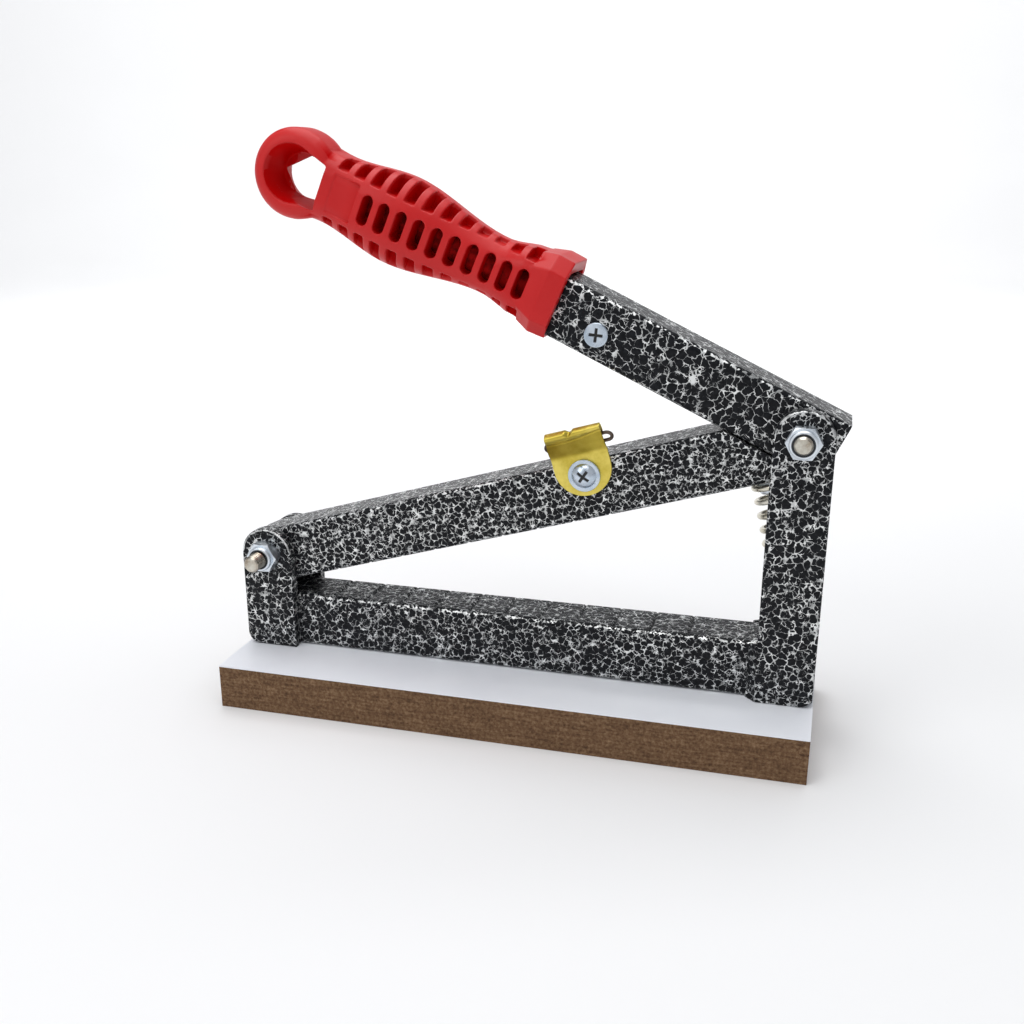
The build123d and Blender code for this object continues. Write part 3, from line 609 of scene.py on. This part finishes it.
coil = bmesh.new()
even_pitch = spring_chord / spring_turns
bmesh.ops.create_circle(coil, cap_ends=True, segments=sides_of_wire, radius=wire_radius)
stand_up = Matrix.Translation((coil_radius, 0, 0)) @ Matrix.Rotation(pi / 2, 4, "X")
bmesh.ops.transform(coil, matrix=stand_up, verts=coil.verts[:])
bmesh.ops.spin(coil, geom=whole(coil), cent=(0, 0, 0), axis=(0, 0, 1),
               dvec=(0, 0, even_pitch / steps_round_coil), angle=tau * spring_turns,
               steps=steps_round_coil * spring_turns)
for vert in coil.verts:
    angle = atan2(vert.co.y, vert.co.x) / tau
    turn = angle + round(vert.co.z / even_pitch - angle)
    lift = vert.co.z - turn * even_pitch
    radius = hypot(vert.co.x, vert.co.y)
    middle, slope = spring_middle(spring_rise(turn))
    side = Vector((0, 1, 0)).cross(slope)
    spun = tau * (turn + spring_start)
    vert.co = middle + side * (radius * cos(spun)) + slope * lift
    vert.co.y += radius * sin(spun)
bmesh.ops.recalc_face_normals(coil, faces=coil.faces[:])
spring_steel = plated("spring_wire", wire_colours, 0.30)
spring = new_piece("coil_spring", coil, spring_steel)
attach(spring, "frame")
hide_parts("return_spring")
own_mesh(spring)
dress("base_spring_peg", zinc_plate)
dress("jaw_spring_peg", zinc_plate)

# Hand grip: a file handle moulded in red plastic and pushed on the lever's end.
# Its edges are softly rounded, and pockets and slots leave ribs round a hollow core.
# Inside them the red is darkened as painted shade, and its gloss is turned down there too, the more the
# deeper a point lies below the grip's outline.
grip_red = ((0.54, 0.010, 0.011, 1), (0.60, 0.015, 0.015, 1))
recess_shade_steps = ((1, 1, 1, 1), (0.90, 0.16, 0.22, 1), (0.95, 0.08, 0.12, 1))
grip_grain = 0.00030
grip_rounds = 2
grip_share = 0.28
grip_tilt = lever_turn - radians(1.9)
slice_length = 0.001
strip_width = 0.0005
slices_across_ribs = 4
root_from_tip = 0.0158
root_reach = 0.003
root_out = 0.0095
root_rounds = 10
collar_from_tip = 0.088
collar_run = 0.012
collar_lift = 0.0004
deepest = 0.008
shade_gloss_range = (0.0008, 0.003)
flow_size = 0.02
spark_size = 0.0005
spark_depth = 0.00003
red_plastic = new_finish("red_plastic", {"IOR": 1.5, "Specular IOR Level": 0.26})
flow = speckle(red_plastic, on_piece(red_plastic), flow_size, 3.0)
spark = speckle(red_plastic, on_piece(red_plastic), spark_size, 3.0)
sunk = add_node(red_plastic, "Attribute", {}, attribute_name="sunk").outputs["Fac"]
moulded = colour_steps(red_plastic, flow, grip_red, (0.3, 0.7))
# Painted shade: the red darkens with how far a point lies below the grip's outline.
shaded = colour_steps(red_plastic, spread(red_plastic, sunk, 0.0, deepest), recess_shade_steps, (0.10, 0.26, 0.9))
mixed = add_node(red_plastic, "Mix", {0: 1.0, 6: moulded, 7: shaded}, data_type="RGBA", blend_type="MULTIPLY")
drive(red_plastic, Base_Color=mixed.outputs[2],
      Roughness=spread(red_plastic, flow, 0.3, 0.7, 0.34, 0.44),
      Specular_IOR_Level=spread(red_plastic, sunk, *shade_gloss_range, 0.30, 0.04),
      Normal=relief(red_plastic, spark, spark_depth))
level = Matrix.Rotation(-grip_tilt, 4, "Y")
grip_shape = merged_copy("handle_grip")
bmesh.ops.transform(grip_shape, matrix=level, verts=grip_shape.verts[:])
grip_heights = [vert.co.z for vert in grip_shape.verts]
grip_axis = (min(grip_heights) + max(grip_heights)) / 2
grip_tip = min(vert.co.x for vert in grip_shape.verts)
grip_shape = softened(grip_shape, grip_grain, grip_rounds, grip_share)
root_ring = [vert for vert in grip_shape.verts
             if abs(vert.co.x - grip_tip - root_from_tip) < root_reach
             and abs(vert.co.z - grip_axis) > root_out]
for _ in range(root_rounds):
    bmesh.ops.smooth_vert(grip_shape, verts=root_ring, factor=0.5,
                          use_axis_x=True, use_axis_y=True, use_axis_z=True)
for vert in grip_shape.verts:
    vert.co.z += collar_lift * ease((vert.co.x - grip_tip - collar_from_tip) / collar_run)


def strip(place, facing):
    """Side of the level grip that a face looks to, the strip it lies in there, and how far out it is."""
    if abs(facing.y) > abs(facing.z):
        return ("front" if facing.y < 0 else "back"), floor(place.z / strip_width), abs(place.y)
    return ("top" if facing.z > 0 else "foot"), floor(place.y / strip_width), abs(place.z - grip_axis)


outline = {}
grip_shape.normal_update()
for vert in grip_shape.verts:
    side, strip_number, distance = strip(vert.co, vert.normal)
    middle_slice = floor(vert.co.x / slice_length)
    for near in range(middle_slice - slices_across_ribs, middle_slice + slices_across_ribs + 1):
        outline[side, near, strip_number] = max(distance, outline.get((side, near, strip_number), 0.0))
# Depth of each point below the outline, which sets the painted shade and the loss of gloss.
depths = []
for vert in grip_shape.verts:
    side, strip_number, distance = strip(vert.co, vert.normal)
    out = vert.co.y * (1 if side == "back" else -1) if side in ("front", "back") else distance
    depths.append(outline[side, floor(vert.co.x / slice_length), strip_number] - out)
bmesh.ops.transform(grip_shape, matrix=level.inverted(), verts=grip_shape.verts[:])
grip = new_piece("moulded_grip", grip_shape, red_plastic)
grip.data.attributes.new("sunk", "FLOAT", "POINT").data.foreach_set("value", depths)
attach(grip, "lever")
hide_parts("handle_grip")

# Floor, light and camera: a plain pale floor under soft studio light, seen as in the photograph.
# The floor curves up all round, so that no horizon shows.
floor_pale = ((0.86, 0.86, 0.86, 1), (0.89, 0.89, 0.89, 1))
floor_reach = 1.6
sweep_radius = 0.9
sweep_steps = 16
floor_steps = 96
floor_cloud = 0.4
floor_shape = bmesh.new()
bends = [pi / 2 * step / sweep_steps for step in range(sweep_steps + 1)]
corners = [floor_shape.verts.new((0, 0, 0))]
corners += [floor_shape.verts.new((floor_reach + sweep_radius * sin(bend), 0, sweep_radius * (1 - cos(bend))))
            for bend in bends]
for low, high in zip(corners, corners[1:]):
    floor_shape.edges.new((low, high))
bmesh.ops.spin(floor_shape, geom=floor_shape.verts[:] + floor_shape.edges[:], cent=(0, 0, 0), axis=(0, 0, 1),
               angle=tau, steps=floor_steps, use_merge=True)
bmesh.ops.remove_doubles(floor_shape, verts=floor_shape.verts[:], dist=1e-5)
bmesh.ops.recalc_face_normals(floor_shape, faces=floor_shape.faces[:])
floor_finish = new_finish("pale_floor", {"Roughness": 0.7})
floor_tone = speckle(floor_finish, on_piece(floor_finish), floor_cloud, 2.0)
drive(floor_finish, Base_Color=colour_steps(floor_finish, floor_tone, floor_pale, (0.3, 0.7)))
studio_floor = new_piece("studio_floor", floor_shape, floor_finish)

world = bpy.data.worlds.new("studio")
bpy.context.scene.world = world
world.use_nodes = True
sky = world.node_tree.nodes["Background"]
sky.inputs["Color"].default_value = (0.93, 0.95, 1.0, 1)
sky.inputs["Strength"].default_value = 0.42


def soft_light(name, place, aim, size, power):
    """Square soft box that faces the given point."""
    lamp = bpy.data.lights.new(name, "AREA")
    lamp.shape = "SQUARE"
    lamp.size = size
    lamp.energy = power
    box = bpy.data.objects.new(name, lamp)
    box.location = place
    box.rotation_euler = (Vector(aim) - Vector(place)).to_track_quat("-Z", "Y").to_euler()
    bpy.context.scene.collection.objects.link(box)


soft_light("top_box", (-0.1, 0.25, 1.2), (0, 0, 0.05), 1.0, 8)
soft_light("front_box", (0.0, -0.5, 1.3), (0, 0, 0.1), 0.8, 4.2)
soft_light("left_box", (-0.7, -0.9, 0.8), (0, 0, 0.1), 0.7, 3)
soft_light("right_box", (0.9, -0.8, 0.6), (0, 0, 0.1), 0.7, 0.2)
soft_light("back_box", (-0.2, 0.9, 1.3), (-0.6, 2.4, 0.2), 1.0, 20)

focal_pixels = 1142.8
image_pixels = 1024
optical_axis = (526.4, 539.3)
eye_place = Vector((0.0995, -0.3695, 0.1900))
yaw, pitch, roll = (radians(angle) for angle in (-14.94, -18.53, 0.32))
camera = bpy.data.cameras.new("photo_camera")
camera.sensor_width = 36.0
camera.lens = focal_pixels / image_pixels * camera.sensor_width
camera.shift_x = 0.5 - optical_axis[0] / image_pixels
camera.shift_y = optical_axis[1] / image_pixels - 0.5
camera.clip_start = 0.01
ahead = Vector((sin(yaw) * cos(pitch), cos(yaw) * cos(pitch), sin(pitch)))
right = Vector((cos(yaw), -sin(yaw), 0))
above = right.cross(ahead)
right, above = right * cos(roll) + above * sin(roll), above * cos(roll) - right * sin(roll)
photo_camera = bpy.data.objects.new("photo_camera", camera)
turned = Matrix((right, above, -ahead)).transposed().to_4x4()
photo_camera.matrix_world = Matrix.Translation(eye_place) @ turned
bpy.context.scene.collection.objects.link(photo_camera)
bpy.context.scene.camera = photo_camera
bpy.context.scene.view_settings.view_transform = "Standard"
